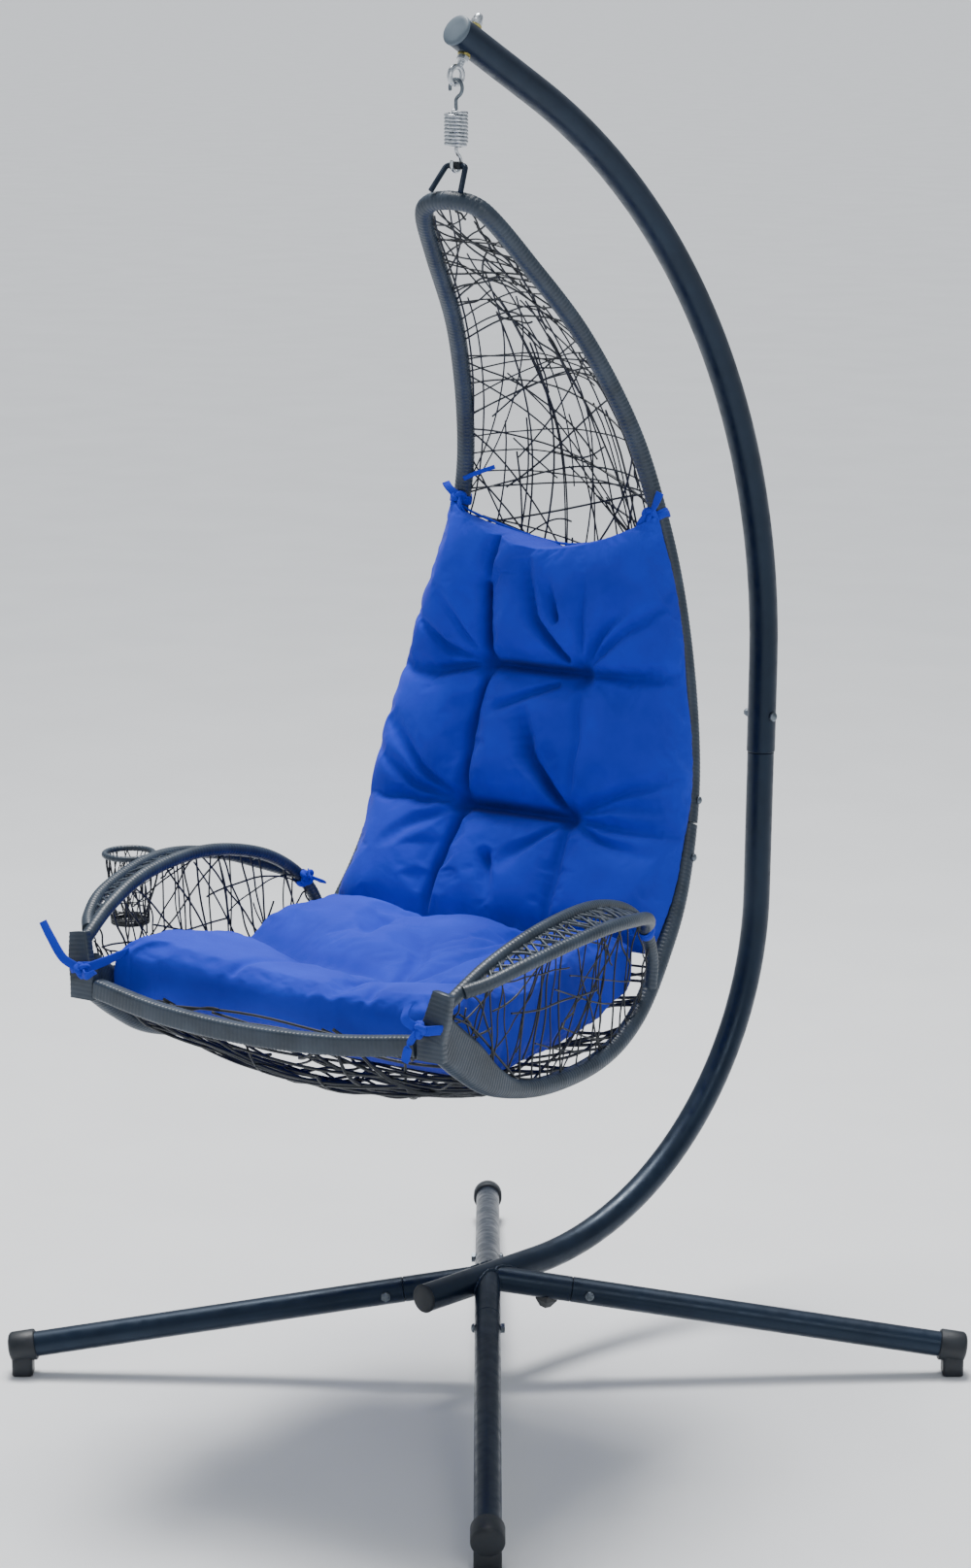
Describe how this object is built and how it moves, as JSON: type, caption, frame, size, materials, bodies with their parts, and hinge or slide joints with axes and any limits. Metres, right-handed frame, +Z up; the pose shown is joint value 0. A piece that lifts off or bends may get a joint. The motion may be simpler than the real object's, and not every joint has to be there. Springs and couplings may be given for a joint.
{
  "type": "hanging chaise chair on C-stand",
  "caption": "Hanging wicker chaise chair with tufted cushion, extension spring and four-legged C-shaped steel stand with a cup holder.",
  "frame": {"origin": "on the floor, at the middle of the object's bounding box seen from above", "axes": "+Z up; the sitter faces -Y; the stand's bow bulges towards +Y in the plane X=0; +X is the sitter's left"},
  "size_m": [1.0398, 1.2636, 2.0039],
  "materials": {
    "arm_inner_rail_left_wicker_wrap": "synthetic wicker wrapped on tube",
    "arm_inner_rail_right_wicker_wrap": "synthetic wicker wrapped on tube",
    "arm_lattice_left_wicker_strand": "synthetic wicker strands",
    "arm_lattice_right_wicker_strand": "synthetic wicker strands",
    "arm_outer_rail_left_wicker_wrap": "synthetic wicker wrapped on tube",
    "arm_outer_rail_right_wicker_wrap": "synthetic wicker wrapped on tube",
    "back_net_wicker_strand": "synthetic wicker strands",
    "bow_front_plug_black_plastic": "moulded black plastic",
    "bow_joint_bolt_zinc": "bright zinc plate",
    "bow_joint_nut_zinc": "bright zinc plate",
    "bow_tip_cap_black_plastic": "moulded black plastic",
    "corner_band_left_wicker_wrap": "synthetic wicker wrapped on tube",
    "corner_band_right_wicker_wrap": "synthetic wicker wrapped on tube",
    "cup_basket_wicker_strand": "synthetic wicker strands",
    "cup_ring_wicker_wrap": "synthetic wicker wrapped on tube",
    "cushion_back_pad_cushion_fabric": "woven polyester",
    "cushion_seat_pad_cushion_fabric": "woven polyester",
    "eye_bolt_zinc": "bright zinc plate",
    "eye_bolt_dome_nut_zinc": "bright zinc plate",
    "eye_bolt_lock_nut_zinc": "bright zinc plate",
    "eye_bolt_lower_washer_yellow_zinc": "yellow zinc plate",
    "eye_bolt_upper_washer_yellow_zinc": "yellow zinc plate",
    "foot_cap_front_left_black_plastic": "moulded black plastic",
    "foot_cap_front_right_black_plastic": "moulded black plastic",
    "foot_cap_rear_left_black_plastic": "moulded black plastic",
    "foot_cap_rear_right_black_plastic": "moulded black plastic",
    "frame_bolt_left_lower_zinc": "bright zinc plate",
    "frame_bolt_left_upper_zinc": "bright zinc plate",
    "frame_bolt_right_lower_zinc": "bright zinc plate",
    "frame_bolt_right_upper_zinc": "bright zinc plate",
    "frame_joiner_left_zinc": "bright zinc plate",
    "frame_joiner_right_zinc": "bright zinc plate",
    "front_rail_wicker_wrap": "synthetic wicker wrapped on tube",
    "hanging_loop_powder_coat": "dark powder coat, satin",
    "leg_bolt_front_left_zinc": "bright zinc plate",
    "leg_bolt_front_right_zinc": "bright zinc plate",
    "leg_bolt_rear_left_zinc": "bright zinc plate",
    "leg_bolt_rear_right_zinc": "bright zinc plate",
    "leg_stub_front_left_powder_coat": "dark powder coat, satin",
    "leg_stub_front_right_powder_coat": "dark powder coat, satin",
    "leg_stub_rear_left_powder_coat": "dark powder coat, satin",
    "leg_stub_rear_right_powder_coat": "dark powder coat, satin",
    "leg_tube_front_left_powder_coat": "dark powder coat, satin",
    "leg_tube_front_right_powder_coat": "dark powder coat, satin",
    "leg_tube_rear_left_powder_coat": "dark powder coat, satin",
    "leg_tube_rear_right_powder_coat": "dark powder coat, satin",
    "loop_sleeve_black_plastic": "moulded black plastic",
    "lower_bow_tube_powder_coat": "dark powder coat, satin",
    "seat_net_wicker_strand": "synthetic wicker strands",
    "seat_rail_left_wicker_wrap": "synthetic wicker wrapped on tube",
    "seat_rail_right_wicker_wrap": "synthetic wicker wrapped on tube",
    "side_net_left_wicker_strand": "synthetic wicker strands",
    "side_net_right_wicker_strand": "synthetic wicker strands",
    "spring_coil_zinc": "bright zinc plate",
    "spring_lower_hook_zinc": "bright zinc plate",
    "spring_upper_hook_zinc": "bright zinc plate",
    "stub_stop_front_right_black_plastic": "moulded black plastic",
    "stub_stop_rear_left_black_plastic": "moulded black plastic",
    "upper_bow_tube_powder_coat": "dark powder coat, satin",
    "upper_hoop_wicker_wrap": "synthetic wicker wrapped on tube"
  },
  "bodies": {
    "stand": {"bow_front_plug": "bow_front_plug_black_plastic", "bow_joint_bolt": "bow_joint_bolt_zinc", "bow_joint_nut": "bow_joint_nut_zinc", "bow_tip_cap": "bow_tip_cap_black_plastic", "eye_bolt": "eye_bolt_zinc", "eye_bolt_dome_nut": "eye_bolt_dome_nut_zinc", "eye_bolt_lock_nut": "eye_bolt_lock_nut_zinc", "eye_bolt_lower_washer": "eye_bolt_lower_washer_yellow_zinc", "eye_bolt_upper_washer": "eye_bolt_upper_washer_yellow_zinc", "foot_cap_front_left": "foot_cap_front_left_black_plastic", "foot_cap_front_right": "foot_cap_front_right_black_plastic", "foot_cap_rear_left": "foot_cap_rear_left_black_plastic", "foot_cap_rear_right": "foot_cap_rear_right_black_plastic", "leg_bolt_front_left": "leg_bolt_front_left_zinc", "leg_bolt_front_right": "leg_bolt_front_right_zinc", "leg_bolt_rear_left": "leg_bolt_rear_left_zinc", "leg_bolt_rear_right": "leg_bolt_rear_right_zinc", "leg_stub_front_left": "leg_stub_front_left_powder_coat", "leg_stub_front_right": "leg_stub_front_right_powder_coat", "leg_stub_rear_left": "leg_stub_rear_left_powder_coat", "leg_stub_rear_right": "leg_stub_rear_right_powder_coat", "leg_tube_front_left": "leg_tube_front_left_powder_coat", "leg_tube_front_right": "leg_tube_front_right_powder_coat", "leg_tube_rear_left": "leg_tube_rear_left_powder_coat", "leg_tube_rear_right": "leg_tube_rear_right_powder_coat", "lower_bow_tube": "lower_bow_tube_powder_coat", "stub_stop_front_right": "stub_stop_front_right_black_plastic", "stub_stop_rear_left": "stub_stop_rear_left_black_plastic", "upper_bow_tube": "upper_bow_tube_powder_coat"},
    "spring_top": {"spring_upper_hook": "spring_upper_hook_zinc", "spring_coil": "spring_coil_zinc"},
    "spring_bottom": {"spring_lower_hook": "spring_lower_hook_zinc"},
    "loop_collar": {"loop_sleeve": "loop_sleeve_black_plastic"},
    "chair": {"arm_inner_rail_left": "arm_inner_rail_left_wicker_wrap", "arm_inner_rail_right": "arm_inner_rail_right_wicker_wrap", "arm_lattice_left": "arm_lattice_left_wicker_strand", "arm_lattice_right": "arm_lattice_right_wicker_strand", "arm_outer_rail_left": "arm_outer_rail_left_wicker_wrap", "arm_outer_rail_right": "arm_outer_rail_right_wicker_wrap", "back_net": "back_net_wicker_strand", "corner_band_left": "corner_band_left_wicker_wrap", "corner_band_right": "corner_band_right_wicker_wrap", "cup_basket": "cup_basket_wicker_strand", "cup_ring": "cup_ring_wicker_wrap", "cushion_back_pad": "cushion_back_pad_cushion_fabric", "cushion_seat_pad": "cushion_seat_pad_cushion_fabric", "frame_bolt_left_lower": "frame_bolt_left_lower_zinc", "frame_bolt_left_upper": "frame_bolt_left_upper_zinc", "frame_bolt_right_lower": "frame_bolt_right_lower_zinc", "frame_bolt_right_upper": "frame_bolt_right_upper_zinc", "frame_joiner_left": "frame_joiner_left_zinc", "frame_joiner_right": "frame_joiner_right_zinc", "front_rail": "front_rail_wicker_wrap", "hanging_loop": "hanging_loop_powder_coat", "seat_net": "seat_net_wicker_strand", "seat_rail_left": "seat_rail_left_wicker_wrap", "seat_rail_right": "seat_rail_right_wicker_wrap", "side_net_left": "side_net_left_wicker_strand", "side_net_right": "side_net_right_wicker_strand", "upper_hoop": "upper_hoop_wicker_wrap"}
  },
  "joints": [
    {"name": "side_swing", "type": "hinge", "parent": "stand", "child": "spring_top", "pos_m": [0, -0.0577, 1.9075], "axis": [0, 1, 0], "range_deg": [-10, 10]},
    {"name": "spring_bounce", "type": "slide", "parent": "spring_top", "child": "spring_bottom", "axis": [0, 0, -1], "range_m": [0, 0.03], "stiffness_N_per_m": 30000, "springref_m": -0.008, "deforming": ["spring_coil"]},
    {"name": "chair_swivel", "type": "hinge", "parent": "spring_bottom", "child": "loop_collar", "pos_m": [0, -0.0577, 1.7966], "axis": [0, 0, 1], "range_deg": [-35, 35]},
    {"name": "fore_aft_swing", "type": "hinge", "parent": "loop_collar", "child": "chair", "pos_m": [0, -0.0577, 1.7966], "axis": [0.9744, 0.225, 0], "range_deg": [-25, 18]}
  ]
}
